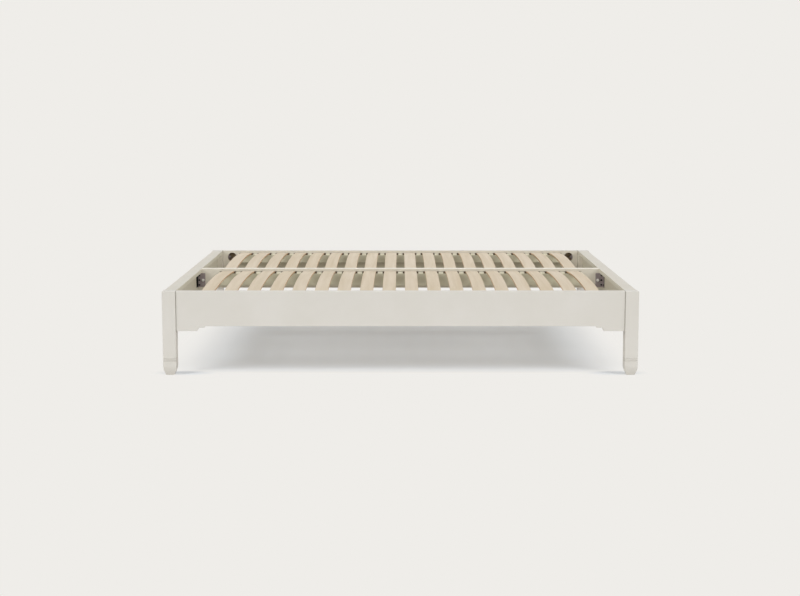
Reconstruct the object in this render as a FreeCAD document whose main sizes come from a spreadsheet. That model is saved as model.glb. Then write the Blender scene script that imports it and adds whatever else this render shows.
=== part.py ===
import FreeCAD, Part
import math
import os
import re
import Sketcher

# A low double bed base. Four square posts carry stepped side and end rails, one beam runs
# lengthwise between the end rails, and two rows of bowed slats run from the rails to the beam.
# The origin is on the floor under the middle. +X is the length, +Y the back and +Z up.

SIZES = (
    # whole bed
    ("bed_length", 2130),
    ("bed_width", 1880),
    ("bed_height", 380),
    # square posts with a double groove over a tapered foot
    ("post_size", 60),
    ("post_edge_radius", 3),
    ("foot_height", 38),
    ("foot_inset", 12.5),
    ("foot_curve_radius", 120),
    ("groove_height", 65),
    ("groove_spacing", 9),
    ("groove_width", 4),
    ("groove_depth", 2),
    # rails between the posts, with a two-step bracket at each end of the lower edge
    ("rail_setback", 6),
    ("side_rail_thickness", 30),
    ("end_rail_thickness", 30),
    ("rail_depth", 158),
    ("upper_step", 7),
    ("lower_step", 15),
    ("lower_step_length", 94),
    ("lower_step_slant", 8),
    ("upper_step_length", 25),
    ("upper_step_slant", 6),
    ("rail_edge_radius", 1.5),
    # flat cap over each end rail
    ("cap_thickness", 21),
    ("cap_edge_radius", 1.5),
    # lengthwise centre beam
    ("beam_thickness", 38),
    ("beam_depth", 97),
    ("beam_edge_radius", 1.5),
    # ledgers that carry the slat ends
    ("ledger_drop", 18),
    ("rail_ledger_depth", 46),
    ("beam_ledger_depth", 65),
    ("ledger_width", 22),
    ("ledger_edge_radius", 1),
    ("ledger_end_margin", 8),
    ("ledger_pocket_gap", 9.45),
    ("notch_depth", 4.5),
    # bowed slats
    ("slat_width", 60),
    ("slat_thickness", 8),
    ("slat_bow", 15),
    ("slat_end_gap", 4),
    ("slat_edge_radius", 2),
    # slat holders: a saddle with two cheeks and a peg
    ("holder_base", 2.5),
    ("holder_cheek", 8.5),
    ("holder_cheek_height", 7),
    ("holder_play", 0.5),
    ("holder_peg_radius", 4),
    ("holder_peg_length", 14),
    # bed bolt, crescent washer and nut in a round pocket of each side rail end
    ("pocket_radius", 25),
    ("pocket_depth", 24),
    ("pocket_inset", 54),
    ("pocket_drop", 36),
    ("bolt_radius", 4),
    ("bolt_grip", 40),
    ("bolt_end", 6),
    ("bolt_clearance", 0.25),
    ("washer_thickness", 7),
    ("washer_width", 14),
    ("nut_across_flats", 13),
    ("nut_thickness", 6.5),
    # dowels that line up the rails with the posts
    ("dowel_radius", 5),
    ("dowel_length", 50),
    ("dowel_clearance", 0.1),
    ("upper_dowel_drop", 85),
    ("lower_dowel_drop", 135),
    # steel angle brackets between the beam and the end rails
    ("plate_thickness", 3),
    ("plate_width", 42),
    ("plate_height", 70),
    ("plate_drop", 23),
    ("flange_width", 28),
    ("bend_radius", 1.5),
    ("plate_corner_radius", 3),
    ("screw_radius", 2.5),
    ("screw_length", 26),
    ("screw_head_radius", 4.5),
    ("screw_head_height", 2.2),
    ("screw_column", 12),
    ("screw_spacing", 24),
    ("flange_screw_inset", 17),
    ("coach_screw_inset", 31),
    ("coach_screw_radius", 4),
    ("coach_screw_length", 32),
    ("coach_head_across_flats", 13),
    ("coach_head_height", 5.5),
    ("screw_clearance", 0.2),
)
ALIASES = {alias for alias, number in SIZES}
SLATS_PER_ROW = 18
LEFT, RIGHT = -1, 1
FRONT, BACK = -1, 1
ALONG = FreeCAD.Vector(1, 0, 0)
ACROSS = FreeCAD.Vector(0, 1, 0)
UP = FreeCAD.Vector(0, 0, 1)

doc = FreeCAD.newDocument("slatted_bed_base")
sheet = doc.addObject("Spreadsheet::Sheet", "sizes")
for row, (alias, number) in enumerate(SIZES, start=1):
    sheet.set(f"A{row}", alias)
    sheet.set(f"B{row}", str(number))
    sheet.setAlias(f"B{row}", alias)
doc.recompute()


def bound(formula):
    """The formula with each size named as a cell of the sheet."""
    return re.sub(r"[a-z]\w+", lambda word: f"sizes.{word[0]}" if word[0] in ALIASES else word[0],
                  formula)


def value(formula):
    """The number that a formula of sizes stands for."""
    return float(sheet.evalExpression(bound(formula)))


# places shared by several pieces
HALF_LENGTH = "(bed_length / 2)"
HALF_WIDTH = "(bed_width / 2)"
POST_INNER_X = f"({HALF_LENGTH} - post_size)"
POST_INNER_Y = f"({HALF_WIDTH} - post_size)"
SIDE_RAIL_Y = f"({HALF_WIDTH} - rail_setback - side_rail_thickness / 2)"
SIDE_RAIL_INNER_Y = f"({HALF_WIDTH} - rail_setback - side_rail_thickness)"
END_RAIL_X = f"({HALF_LENGTH} - rail_setback - end_rail_thickness / 2)"
END_RAIL_INNER_X = f"({HALF_LENGTH} - rail_setback - end_rail_thickness)"
HOLDER_WIDTH = "(slat_width + 2 * holder_play + 2 * holder_cheek)"
LEDGER_TOP = "(bed_height - ledger_drop)"
NOTCH_FLOOR = f"({LEDGER_TOP} - notch_depth)"
BOLT_HEIGHT = "(bed_height - pocket_drop)"
BOLT_HEAD_X = f"({POST_INNER_X} - pocket_inset + pocket_radius)"
PLATE_MIDDLE = "(bed_height - plate_drop - plate_height / 2)"
PLATE_FRONT_Y = "(beam_thickness / 2 + plate_thickness)"

# the ledgers stop short of the bolt pockets, and the slats are spread evenly over them
ROW_SPAN = (f"(2 * ({POST_INNER_X} - pocket_inset - pocket_radius - ledger_pocket_gap"
            f" - ledger_end_margin - {HOLDER_WIDTH} / 2))")
ROW_START = f"(-{ROW_SPAN} / 2)"
SLAT_PITCH = f"({ROW_SPAN} / {SLATS_PER_ROW - 1})"

sub_parts = []


def new_body(name, x="0", y="0", z="0"):
    """An empty body, placed by formulas and kept as one sub-part."""
    body = doc.addObject("PartDesign::Body", name)
    body.Label = name
    body.AllowCompound = True
    for axis, formula in zip("xyz", (x, y, z)):
        body.setExpression(f"Placement.Base.{axis}", bound(formula))
    sub_parts.append(body)
    return body


def new_sketch(body, name, role, offset="0"):
    """A sketch parallel to one of the body's own origin planes."""
    sketch = body.newObject("Sketcher::SketchObject", name)
    plane = next(item for item in body.Origin.OriginFeatures if item.Role == role)
    sketch.AttachmentSupport = [(plane, "")]
    sketch.MapMode = "FlatFace"
    sketch.setExpression("AttachmentOffset.Base.z", bound(offset))
    return sketch


def fix_point(sketch, geometry, vertex, point):
    """Hold one vertex of the sketch at a point given by two formulas."""
    for kind, formula in zip(("DistanceX", "DistanceY"), point):
        rule = Sketcher.Constraint(kind, -1, 1, geometry, vertex, value(formula))
        index = sketch.addConstraint(rule)
        sketch.setExpression(f"Constraints[{index}]", bound(formula))


def fix_radius(sketch, geometry, radius):
    """Hold the radius of a circle or an arc."""
    index = sketch.addConstraint(Sketcher.Constraint("Radius", geometry, value(radius)))
    sketch.setExpression(f"Constraints[{index}]", bound(radius))


def vector(point):
    """A sketch point from its two formulas."""
    return FreeCAD.Vector(value(point[0]), value(point[1]), 0)


def add_outline(sketch, points):
    """A closed outline of straight lines through the points."""
    first = sketch.GeometryCount
    following = points[1:] + points[:1]
    for start, end in zip(points, following):
        sketch.addGeometry(Part.LineSegment(vector(start), vector(end)), False)
    for index, point in enumerate(points):
        before = first + (index - 1) % len(points)
        sketch.addConstraint(Sketcher.Constraint("Coincident", before, 2, first + index, 1))
        fix_point(sketch, first + index, 1, point)


def add_box(sketch, low, high):
    """A rectangle between two opposite corners."""
    add_outline(sketch, [low, (high[0], low[1]), high, (low[0], high[1])])


def add_rounded_box(sketch, low, high, radius):
    """A rectangle with four rounded corners."""
    inner_low = [f"{part} + {radius}" for part in low]
    inner_high = [f"{part} - {radius}" for part in high]
    runs = [
        ((inner_low[0], low[1]), (inner_high[0], low[1])),
        ((high[0], inner_low[1]), (high[0], inner_high[1])),
        ((inner_high[0], high[1]), (inner_low[0], high[1])),
        ((low[0], inner_high[1]), (low[0], inner_low[1])),
    ]
    centres = [(inner_high[0], inner_low[1]), (inner_high[0], inner_high[1]),
               (inner_low[0], inner_high[1]), (inner_low[0], inner_low[1])]
    first = sketch.GeometryCount
    for start, end in runs:
        sketch.addGeometry(Part.LineSegment(vector(start), vector(end)), False)
    for corner, centre in enumerate(centres):
        circle = Part.Circle(vector(centre), FreeCAD.Vector(0, 0, 1), value(radius))
        turn = math.pi / 2 * (corner - 1)
        sketch.addGeometry(Part.ArcOfCircle(circle, turn, turn + math.pi / 2), False)
    for side, (start, end) in enumerate(runs):
        line, arc, following = first + side, first + 4 + side, first + (side + 1) % 4
        fix_point(sketch, line, 1, start)
        fix_point(sketch, line, 2, end)
        sketch.addConstraint(Sketcher.Constraint("Coincident", line, 2, arc, 1))
        sketch.addConstraint(Sketcher.Constraint("Coincident", arc, 2, following, 1))
        fix_radius(sketch, arc, radius)


def add_circle(sketch, centre, radius):
    """A circle at a point given by two formulas."""
    index = sketch.addGeometry(Part.Circle(vector(centre), FreeCAD.Vector(0, 0, 1), value(radius)),
                               False)
    fix_point(sketch, index, 3, centre)
    fix_radius(sketch, index, radius)


def add_hexagon(sketch, centre, across_flats):
    """A hexagon with two corners level with its centre."""
    corner = f"({across_flats} / 2 / cos(30))"
    points = []
    for step in range(6):
        turn = 60 * step
        points.append((f"{centre[0]} + {corner} * cos({turn})",
                       f"{centre[1]} + {corner} * sin({turn})"))
    add_outline(sketch, points)


def add_pad(body, sketch, length, middle=False, backwards=False):
    """Material from the sketch, along its normal or to both sides."""
    pad = body.newObject("PartDesign::Pad", f"{sketch.Name}_pad")
    pad.Profile = sketch
    pad.setExpression("Length", bound(length))
    pad.Midplane = middle
    pad.Reversed = backwards
    return pad


def add_pocket(body, sketch, depth, middle=False, along_normal=False):
    """A cut from the sketch, against its normal unless told otherwise."""
    doc.recompute()
    before = body.Shape.Volume
    pocket = body.newObject("PartDesign::Pocket", f"{sketch.Name}_pocket")
    pocket.Profile = sketch
    pocket.setExpression("Length", bound(depth))
    pocket.Midplane = middle
    pocket.Reversed = along_normal
    doc.recompute()
    if not body.Shape.Volume < before:
        raise RuntimeError(f"{pocket.Name} cuts nothing")
    return pocket


def soften(body, name, radius, chosen):
    """Round the edges that the test picks."""
    doc.recompute()
    base = body.Tip
    edges = [f"Edge{index}" for index, edge in enumerate(base.Shape.Edges, start=1) if chosen(edge)]
    fillet = body.newObject("PartDesign::Fillet", name)
    fillet.Base = (base, edges)
    fillet.setExpression("Radius", bound(radius))


def runs_along(edge, axis):
    """Whether an edge is straight and parallel to the axis."""
    first, last = edge.Vertexes[0].Point, edge.Vertexes[-1].Point
    return abs(abs((last - first).dot(axis)) - edge.Length) < 1e-6 and edge.Length > 1e-6


def stands_at(edge, x, y):
    """Whether an upright edge stands at the point given by two formulas."""
    middle = edge.CenterOfMass
    return runs_along(edge, UP) and math.hypot(middle.x - value(x), middle.y - value(y)) < 0.01


def origin_item(body, role):
    """One axis or plane of the body's origin."""
    return next(item for item in body.Origin.OriginFeatures if item.Role == role)


def mirror_steps(body, roles):
    """Mirror images across the named origin planes."""
    steps = []
    for role in roles:
        step = body.newObject("PartDesign::Mirrored", f"{body.Name}_{role}_mirror")
        step.MirrorPlane = (origin_item(body, role), [""])
        steps.append(step)
    return steps


def row_step(body, name, role, spacing, count):
    """Equal copies in a row along an origin axis."""
    step = body.newObject("PartDesign::LinearPattern", name)
    step.Direction = (origin_item(body, role), [""])
    step.Mode = "Spacing"
    step.setExpression("Offset", bound(spacing))
    step.Occurrences = count
    return step


def repeat(body, features, steps):
    """Apply the steps one after the other to the features."""
    pattern = body.newObject("PartDesign::MultiTransform", f"{body.Name}_pattern")
    pattern.Originals = features
    pattern.Transformations = steps
    body.Tip = pattern


def four_corners(body, features):
    """Repeat the features at all four corners of the bed."""
    repeat(body, features, mirror_steps(body, ("YZ_Plane", "XZ_Plane")))


# ---- posts ----

def foot_and_grooves(body, name, role):
    """The curved foot taper and both grooves, cut through from side to side."""
    sketch = new_sketch(body, name, role)
    for side in (LEFT, RIGHT):
        face = f"{side} * post_size / 2"
        toe = (f"{side} * (post_size / 2 - foot_inset)", "0")
        corner = (face, "0")
        ankle = (face, "foot_height")
        first = sketch.GeometryCount
        sketch.addGeometry(Part.LineSegment(vector(toe), vector(corner)), False)
        sketch.addGeometry(Part.LineSegment(vector(corner), vector(ankle)), False)
        sketch.addGeometry(foot_arc(vector(toe), vector(ankle), side), False)
        arc_start, arc_end = (1, 2) if side == RIGHT else (2, 1)
        sketch.addConstraint(Sketcher.Constraint("Coincident", first, 2, first + 1, 1))
        sketch.addConstraint(Sketcher.Constraint("Coincident", first, 1, first + 2, arc_start))
        sketch.addConstraint(Sketcher.Constraint("Coincident", first + 1, 2, first + 2, arc_end))
        fix_point(sketch, first, 1, toe)
        fix_point(sketch, first, 2, corner)
        fix_point(sketch, first + 1, 2, ankle)
        fix_radius(sketch, first + 2, "foot_curve_radius")
        for level in ("groove_height", "groove_height + groove_spacing"):
            add_outline(sketch, [
                (face, f"{level} - groove_width / 2"),
                (face, f"{level} + groove_width / 2"),
                (f"{side} * (post_size / 2 - groove_depth)", level),
            ])
    add_pocket(body, sketch, "2 * post_size", middle=True)


def foot_arc(toe, ankle, side):
    """The arc of one foot face, bulging outwards."""
    radius = value("foot_curve_radius")
    middle = (toe + ankle) * 0.5
    chord = ankle - toe
    outwards = FreeCAD.Vector(chord.y, -chord.x, 0).normalize() * side
    sagitta = radius - math.sqrt(radius ** 2 - (chord.Length / 2) ** 2)
    crown = middle + outwards * sagitta
    return Part.Arc(toe, crown, ankle)


def make_post(name, side_x, side_y):
    """One square post, with the holes of its two rails in its inner faces."""
    body = new_body(name, f"{side_x} * ({HALF_LENGTH} - post_size / 2)",
                    f"{side_y} * ({HALF_WIDTH} - post_size / 2)")
    section = new_sketch(body, f"{name}_section", "XY_Plane")
    half = "post_size / 2"
    add_box(section, (f"-{half}", f"-{half}"), (half, half))
    add_pad(body, section, "bed_height")
    soften(body, f"{name}_edges", "post_edge_radius",
           lambda edge: edge.CenterOfMass.z > value("foot_height"))
    foot_and_grooves(body, f"{name}_front_profile", "XZ_Plane")
    foot_and_grooves(body, f"{name}_side_profile", "YZ_Plane")
    side_rail_middle = f"{side_y} * (post_size / 2 - rail_setback - side_rail_thickness / 2)"
    end_rail_middle = f"{side_x} * (post_size / 2 - rail_setback - end_rail_thickness / 2)"
    # the inner faces look towards the middle of the bed
    side_holes = new_sketch(body, f"{name}_side_holes", "YZ_Plane", f"{-side_x} * post_size / 2")
    for drop in ("upper_dowel_drop", "lower_dowel_drop"):
        add_circle(side_holes, (side_rail_middle, f"bed_height - {drop}"),
                   "dowel_radius + dowel_clearance")
    add_pocket(body, side_holes, "dowel_length / 2", along_normal=side_x == RIGHT)
    bolt_hole = new_sketch(body, f"{name}_bolt_hole", "YZ_Plane", f"{-side_x} * post_size / 2")
    add_circle(bolt_hole, (side_rail_middle, BOLT_HEIGHT), "bolt_radius + bolt_clearance")
    add_pocket(body, bolt_hole, "bolt_grip", along_normal=side_x == RIGHT)
    # the normal of this plane points to the front
    end_holes = new_sketch(body, f"{name}_end_holes", "XZ_Plane", f"{side_y} * post_size / 2")
    for drop in ("upper_dowel_drop", "lower_dowel_drop"):
        add_circle(end_holes, (end_rail_middle, f"bed_height - {drop}"),
                   "dowel_radius + dowel_clearance")
    add_pocket(body, end_holes, "dowel_length / 2", along_normal=side_y == FRONT)


# ---- rails, caps and beam ----

def stepped_outline(half, top):
    """A rail seen from its face: straight top, two-step bracket at each end below."""
    levels = {
        "lower": "bed_height - rail_depth - upper_step - lower_step",
        "upper": "bed_height - rail_depth - upper_step",
        "middle": "bed_height - rail_depth",
    }
    reach = [
        ("0", "lower"),
        ("lower_step_length", "lower"),
        ("lower_step_length + lower_step_slant", "upper"),
        ("lower_step_length + lower_step_slant + upper_step_length", "upper"),
        ("lower_step_length + lower_step_slant + upper_step_length + upper_step_slant", "middle"),
    ]
    right = [(f"{half} - ({run})", levels[level]) for run, level in reach]
    left = [(f"({run}) - {half}", levels[level]) for run, level in reversed(reach)]
    return [(f"-{half}", top), (half, top)] + right + left


def make_side_rail(name, side_y):
    """A side rail with a bolt pocket and dowel holes at each end."""
    body = new_body(name, y=f"{side_y} * {SIDE_RAIL_Y}")
    face = new_sketch(body, f"{name}_face", "XZ_Plane")
    add_outline(face, stepped_outline(POST_INNER_X, "bed_height"))
    add_pad(body, face, "side_rail_thickness", middle=True)
    soften(body, f"{name}_edges", "rail_edge_radius",
           lambda edge: not runs_along(edge, ACROSS)
           and abs(edge.CenterOfMass.x) < value(POST_INNER_X) - 1)
    # the normal of this plane points to the front
    pockets = new_sketch(body, f"{name}_pockets", "XZ_Plane", f"{side_y} * side_rail_thickness / 2")
    for side_x in (LEFT, RIGHT):
        add_circle(pockets, (f"{side_x} * ({POST_INNER_X} - pocket_inset)", BOLT_HEIGHT),
                   "pocket_radius")
    add_pocket(body, pockets, "pocket_depth", along_normal=side_y == FRONT)
    for side_x, word in ((LEFT, "left"), (RIGHT, "right")):
        end = f"{side_x} * {POST_INNER_X}"
        dowels = new_sketch(body, f"{name}_{word}_dowels", "YZ_Plane", end)
        for drop in ("upper_dowel_drop", "lower_dowel_drop"):
            add_circle(dowels, ("0", f"bed_height - {drop}"), "dowel_radius + dowel_clearance")
        add_pocket(body, dowels, "dowel_length / 2", along_normal=side_x == LEFT)
        bolt = new_sketch(body, f"{name}_{word}_bolt", "YZ_Plane", end)
        add_circle(bolt, ("0", BOLT_HEIGHT), "bolt_radius + bolt_clearance")
        add_pocket(body, bolt, "pocket_inset", along_normal=side_x == LEFT)


def make_end_rail(name, side_x):
    """An end rail under its cap, with dowel holes at each end."""
    body = new_body(name, x=f"{side_x} * {END_RAIL_X}")
    face = new_sketch(body, f"{name}_face", "YZ_Plane")
    add_outline(face, stepped_outline(POST_INNER_Y, "bed_height - cap_thickness"))
    add_pad(body, face, "end_rail_thickness", middle=True)
    soften(body, f"{name}_edges", "rail_edge_radius",
           lambda edge: not runs_along(edge, ALONG)
           and edge.CenterOfMass.z < value("bed_height - cap_thickness") - 1
           and abs(edge.CenterOfMass.y) < value(POST_INNER_Y) - 1)
    # the inner face looks towards the middle of the bed
    screws = new_sketch(body, f"{name}_screws", "YZ_Plane", f"{-side_x} * end_rail_thickness / 2")
    for step in (-1, 1):
        add_circle(screws, ("-(beam_thickness / 2 + flange_screw_inset)",
                            f"{PLATE_MIDDLE} + {step} * screw_spacing"),
                   "screw_radius + screw_clearance")
    add_pocket(body, screws, "screw_length - plate_thickness", along_normal=side_x == RIGHT)
    # the normal of this plane points to the front
    for side_y, word in ((FRONT, "front"), (BACK, "back")):
        dowels = new_sketch(body, f"{name}_{word}_dowels", "XZ_Plane", f"{-side_y} * {POST_INNER_Y}")
        for drop in ("upper_dowel_drop", "lower_dowel_drop"):
            add_circle(dowels, ("0", f"bed_height - {drop}"), "dowel_radius + dowel_clearance")
        add_pocket(body, dowels, "dowel_length / 2", along_normal=side_y == BACK)


def make_end_cap(name, side_x):
    """The wide flat cap of an end rail, flush with the inner faces of the posts."""
    body = new_body(name)
    section = new_sketch(body, f"{name}_section", "XZ_Plane")
    add_box(section, (f"{side_x} * {POST_INNER_X}", "bed_height - cap_thickness"),
            (f"{side_x} * ({HALF_LENGTH} - rail_setback)", "bed_height"))
    add_pad(body, section, f"2 * {POST_INNER_Y}", middle=True)
    soften(body, f"{name}_edges", "cap_edge_radius", lambda edge: runs_along(edge, ACROSS))


def make_centre_beam():
    """The lengthwise beam, notched under both end caps."""
    body = new_body("centre_beam")
    face = new_sketch(body, "centre_beam_face", "XZ_Plane")
    under_cap = "bed_height - cap_thickness"
    bottom = "bed_height - beam_depth"
    add_outline(face, [
        (f"-{POST_INNER_X}", "bed_height"),
        (POST_INNER_X, "bed_height"),
        (POST_INNER_X, under_cap),
        (END_RAIL_INNER_X, under_cap),
        (END_RAIL_INNER_X, bottom),
        (f"-{END_RAIL_INNER_X}", bottom),
        (f"-{END_RAIL_INNER_X}", under_cap),
        (f"-{POST_INNER_X}", under_cap),
    ])
    add_pad(body, face, "beam_thickness", middle=True)
    soften(body, "centre_beam_edges", "beam_edge_radius",
           lambda edge: runs_along(edge, ALONG) and edge.Length > value("post_size"))
    # screw holes open on the front face, where the brackets lie
    holes = new_sketch(body, "centre_beam_screws", "XZ_Plane", "beam_thickness / 2")
    for side_x in (LEFT, RIGHT):
        for step in (-1, 0, 1):
            add_circle(holes, (f"{side_x} * ({END_RAIL_INNER_X} - screw_column)",
                               f"{PLATE_MIDDLE} + {step} * screw_spacing"),
                       "screw_radius + screw_clearance")
    add_pocket(body, holes, "screw_length - plate_thickness")
    coach = new_sketch(body, "centre_beam_coach_screws", "XZ_Plane", "beam_thickness / 2")
    for side_x in (LEFT, RIGHT):
        add_circle(coach, (f"{side_x} * ({END_RAIL_INNER_X} - coach_screw_inset)", PLATE_MIDDLE),
                   "coach_screw_radius + screw_clearance")
    add_pocket(body, coach, "coach_screw_length - plate_thickness")


def make_ledger(name, carrier_y, side_y, depth):
    """A ledger on the face of its rail or beam, notched for the slat holders."""
    body = new_body(name, y=f"{carrier_y} + {side_y} * ledger_width / 2", z=LEDGER_TOP)
    half = f"({ROW_SPAN} / 2 + {HOLDER_WIDTH} / 2 + ledger_end_margin)"
    face = new_sketch(body, f"{name}_face", "XZ_Plane")
    add_box(face, (f"-{half}", f"-{depth}"), (half, "0"))
    add_pad(body, face, "ledger_width", middle=True)
    soften(body, f"{name}_edges", "ledger_edge_radius", lambda edge: runs_along(edge, ALONG))
    notch = new_sketch(body, f"{name}_notch", "XZ_Plane")
    add_box(notch, (f"{ROW_START} - {HOLDER_WIDTH} / 2", "-notch_depth"),
            (f"{ROW_START} + {HOLDER_WIDTH} / 2", "0"))
    notch_cut = add_pocket(body, notch, "ledger_width", middle=True)
    peg = new_sketch(body, f"{name}_peg_hole", "XY_Plane")
    add_circle(peg, (ROW_START, "0"), "holder_peg_radius + dowel_clearance")
    peg_cut = add_pocket(body, peg, "notch_depth + holder_peg_length")
    repeat(body, [notch_cut, peg_cut],
           [row_step(body, f"{name}_row", "X_Axis", SLAT_PITCH, SLATS_PER_ROW)])


# ---- slats and their holders ----

SLAT_SPAN = f"({SIDE_RAIL_INNER_Y} - beam_thickness / 2)"
ROW_MIDDLE_Y = f"(({SIDE_RAIL_INNER_Y} + beam_thickness / 2) / 2)"
SLAT_HALF = f"({SLAT_SPAN} / 2 - slat_end_gap)"
BOW_RADIUS = f"(({SLAT_HALF} ^ 2 + slat_bow ^ 2) / (2 * slat_bow))"


def make_slat(name, side_y, index):
    """One bowed slat, resting by its ends on two holders."""
    body = new_body(name, f"{ROW_START} + {index} * {SLAT_PITCH}", f"{side_y} * {ROW_MIDDLE_Y}",
                    f"{NOTCH_FLOOR} + holder_base")
    section = new_sketch(body, f"{name}_section", "XZ_Plane")
    half = "slat_width / 2"
    add_rounded_box(section, (f"-{half}", "slat_bow"), (half, "slat_bow + slat_thickness"),
                    "slat_edge_radius")
    # the section bends about a line far below the slat
    ends = [(f"-{half}", f"slat_bow - {BOW_RADIUS}"), (half, f"slat_bow - {BOW_RADIUS}")]
    axis = section.addGeometry(Part.LineSegment(vector(ends[0]), vector(ends[1])), True)
    fix_point(section, axis, 1, ends[0])
    fix_point(section, axis, 2, ends[1])
    bend = body.newObject("PartDesign::Revolution", f"{name}_bend")
    bend.Profile = section
    bend.ReferenceAxis = (section, ["Axis0"])
    bend.setExpression("Angle", bound(f"2 * asin({SLAT_HALF} / {BOW_RADIUS})"))
    bend.Midplane = True


def make_slat_holders():
    """The saddle under every slat end, with its peg in the ledger."""
    body = new_body("slat_holders", z=NOTCH_FLOOR)
    front_y = SIDE_RAIL_INNER_Y
    left, right = f"{ROW_START} - {HOLDER_WIDTH} / 2", f"{ROW_START} + {HOLDER_WIDTH} / 2"
    top = "holder_base + holder_cheek_height"
    # the normal of this plane points to the front, where the first holder lies
    profile = new_sketch(body, "slat_holder_profile", "XZ_Plane", f"{front_y} - ledger_width")
    add_outline(profile, [
        (left, "0"),
        (right, "0"),
        (right, top),
        (f"{right} - holder_cheek", top),
        (f"{right} - holder_cheek", "holder_base"),
        (f"{left} + holder_cheek", "holder_base"),
        (f"{left} + holder_cheek", top),
        (left, top),
    ])
    saddle = add_pad(body, profile, "ledger_width")
    peg_sketch = new_sketch(body, "slat_holder_peg", "XY_Plane")
    add_circle(peg_sketch, (ROW_START, f"-({front_y} - ledger_width / 2)"), "holder_peg_radius")
    peg = add_pad(body, peg_sketch, "holder_peg_length", backwards=True)
    rail_to_beam = f"{SLAT_SPAN} - ledger_width"
    repeat(body, [saddle, peg], [
        row_step(body, "holder_row", "X_Axis", SLAT_PITCH, SLATS_PER_ROW),
        row_step(body, "holder_pair", "Y_Axis", rail_to_beam, 2),
        *mirror_steps(body, ("XZ_Plane",)),
    ])


# ---- bed bolts, crescent washers, nuts and dowels ----

def make_bed_bolts():
    """A stud in each post that runs through the rail end into its pocket."""
    body = new_body("bed_bolts")
    section = new_sketch(body, "bed_bolt_section", "YZ_Plane", f"{POST_INNER_X} + bolt_grip")
    add_circle(section, (SIDE_RAIL_Y, BOLT_HEIGHT), "bolt_radius")
    shank = add_pad(body, section, f"bolt_grip + {POST_INNER_X} - {BOLT_HEAD_X} + washer_thickness"
                    " + nut_thickness + bolt_end", backwards=True)
    four_corners(body, [shank])


def make_crescent_washers():
    """A half-moon washer against the curved wall of each pocket."""
    body = new_body("crescent_washers")
    sketch = new_sketch(body, "crescent_washer_outline", "XZ_Plane",
                        f"washer_width / 2 - {SIDE_RAIL_Y}")
    radius = "(pocket_radius - bolt_clearance)"
    chord = f"({BOLT_HEAD_X} - washer_thickness)"
    centre = (f"{POST_INNER_X} - pocket_inset", BOLT_HEIGHT)
    half_chord = f"sqrt({radius} ^ 2 - (pocket_radius - washer_thickness) ^ 2)"
    low = (chord, f"{BOLT_HEIGHT} - {half_chord}")
    high = (chord, f"{BOLT_HEIGHT} + {half_chord}")
    crown = vector(centre) + FreeCAD.Vector(value(radius), 0, 0)
    sketch.addGeometry(Part.Arc(vector(low), crown, vector(high)), False)
    sketch.addGeometry(Part.LineSegment(vector(high), vector(low)), False)
    sketch.addConstraint(Sketcher.Constraint("Coincident", 0, 2, 1, 1))
    sketch.addConstraint(Sketcher.Constraint("Coincident", 1, 2, 0, 1))
    fix_point(sketch, 0, 3, centre)
    fix_point(sketch, 0, 1, low)
    index = sketch.addConstraint(Sketcher.Constraint("DistanceX", -1, 1, 0, 2, value(chord)))
    sketch.setExpression(f"Constraints[{index}]", bound(chord))
    moon = add_pad(body, sketch, "washer_width", backwards=True)
    hole = new_sketch(body, "crescent_washer_hole", "YZ_Plane", BOLT_HEAD_X)
    add_circle(hole, (SIDE_RAIL_Y, BOLT_HEIGHT), "bolt_radius + bolt_clearance")
    bore = add_pocket(body, hole, "2 * washer_thickness", middle=True)
    four_corners(body, [moon, bore])


def make_bed_nuts():
    """A hexagon nut on each stud, tight against the crescent washer."""
    body = new_body("bed_nuts")
    sketch = new_sketch(body, "bed_nut_outline", "YZ_Plane", f"{BOLT_HEAD_X} - washer_thickness")
    add_hexagon(sketch, (SIDE_RAIL_Y, BOLT_HEIGHT), "nut_across_flats")
    add_circle(sketch, (SIDE_RAIL_Y, BOLT_HEIGHT), "bolt_radius + bolt_clearance")
    nut = add_pad(body, sketch, "nut_thickness", backwards=True)
    four_corners(body, [nut])


def make_joint_dowels():
    """Two dowels in every joint between a rail and a post."""
    body = new_body("joint_dowels")
    side = new_sketch(body, "side_dowels", "YZ_Plane", POST_INNER_X)
    end = new_sketch(body, "end_dowels", "XZ_Plane", f"-{POST_INNER_Y}")
    for drop in ("upper_dowel_drop", "lower_dowel_drop"):
        add_circle(side, (SIDE_RAIL_Y, f"bed_height - {drop}"), "dowel_radius")
        add_circle(end, (END_RAIL_X, f"bed_height - {drop}"), "dowel_radius")
    pads = [add_pad(body, sketch, "dowel_length", middle=True) for sketch in (side, end)]
    four_corners(body, pads)


# ---- beam brackets and their screws ----

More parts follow.
